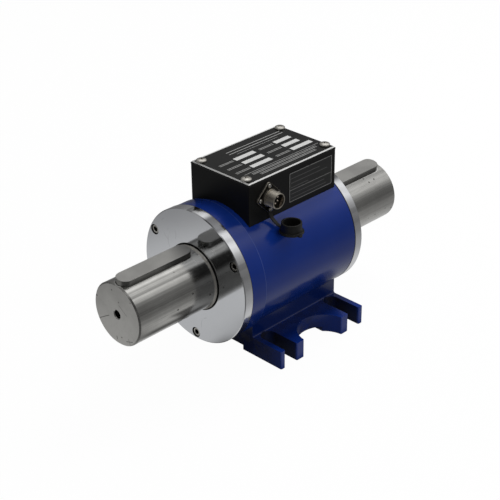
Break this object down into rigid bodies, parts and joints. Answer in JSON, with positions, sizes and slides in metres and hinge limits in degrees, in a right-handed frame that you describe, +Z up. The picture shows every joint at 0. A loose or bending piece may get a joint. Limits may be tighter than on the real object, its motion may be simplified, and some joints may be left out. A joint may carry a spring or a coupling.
{
  "type": "rotary torque sensor",
  "caption": "Foot-mounted rotary torque sensor: a keyed shaft runs through a painted housing with an electronics box, signal connector and rubber dust cap on top.",
  "frame": {"origin": "on the underside of the foot, below the middle of the shaft's length", "axes": "+X along the shaft from the collared end to the plain end, -Y towards the signal connector, +Z up"},
  "size_m": [0.368, 0.1642, 0.1914],
  "materials": {
    "blue_paint": "gloss enamel on a machined casting",
    "polished_aluminium": "polished, with fine scratches",
    "shaft_steel": "ground and lightly stained",
    "key_steel": "bright drawn, matt",
    "screw_steel": "zinc plated",
    "bearing_steel": "ground",
    "cage_brass": "turned",
    "spring_steel": "blued",
    "ferrite": "matt",
    "winding_copper": "enamelled wire",
    "board_green": "solder mask",
    "gauge_foil": "backing film",
    "disc_steel": "milled",
    "box_black": "satin black",
    "lid_black": "black face with a bare bevelled rim",
    "seal_rubber": "matt",
    "connector_nickel": "dull nickel",
    "insert_plastic": "moulded",
    "pin_metal": "plated",
    "cap_rubber": "moulded, satin"
  },
  "bodies": {
    "case": {"housing": "blue_paint", "near_flange": "polished_aluminium", "far_flange": "polished_aluminium", "near_flange_screws": "screw_steel", "far_flange_screws": "screw_steel", "near_bearing_outer_ring": "bearing_steel", "far_bearing_outer_ring": "bearing_steel", "wave_washer": "spring_steel", "stator_core": "ferrite", "stator_winding": "winding_copper", "speed_pickup": "screw_steel", "pickup_nut": "screw_steel", "box_body": "box_black", "box_seal": "seal_rubber", "box_lid": "lid_black", "lid_screws": "screw_steel", "box_mount_screws": "screw_steel", "main_board": "board_green", "board_screws": "screw_steel", "wire_grommet": "seal_rubber", "connector_shell": "connector_nickel", "connector_gasket": "seal_rubber", "connector_insert": "insert_plastic", "connector_pins": "pin_metal", "connector_screws": "screw_steel"},
    "rotor": {"shaft": "shaft_steel", "near_key": "key_steel", "far_key": "key_steel", "near_bearing_inner_ring": "bearing_steel", "far_bearing_inner_ring": "bearing_steel", "near_circlip": "spring_steel", "far_circlip": "spring_steel", "rotor_core": "ferrite", "rotor_winding": "winding_copper", "rotor_board": "board_green", "strain_gauges": "gauge_foil", "speed_disc": "disc_steel"},
    "near_ball_set": {"near_bearing_balls": "bearing_steel", "near_bearing_cage": "cage_brass"},
    "far_ball_set": {"far_bearing_balls": "bearing_steel", "far_bearing_cage": "cage_brass"},
    "cap": {"dust_cap": "cap_rubber"}
  },
  "joints": [
    {"name": "shaft_spin", "type": "hinge", "parent": "case", "child": "rotor", "pos_m": [0, 0, 0.089], "axis": [1, 0, 0], "continuous": true},
    {"name": "near_cage_spin", "type": "hinge", "parent": "case", "child": "near_ball_set", "pos_m": [-0.0648, 0, 0.089], "axis": [1, 0, 0], "continuous": true},
    {"name": "far_cage_spin", "type": "hinge", "parent": "case", "child": "far_ball_set", "pos_m": [0.0628, 0, 0.089], "axis": [1, 0, 0], "continuous": true},
    {"name": "cap_swing", "type": "hinge", "parent": "case", "child": "cap", "pos_m": [-0.0245, -0.04325, 0.1551], "axis": [0, -1, 0], "range_deg": [0, 90]}
  ],
  "couplings": [
    {"joint": "near_cage_spin", "follows": "shaft_spin", "ratio": 0.43167},
    {"joint": "far_cage_spin", "follows": "shaft_spin", "ratio": 0.43167}
  ]
}
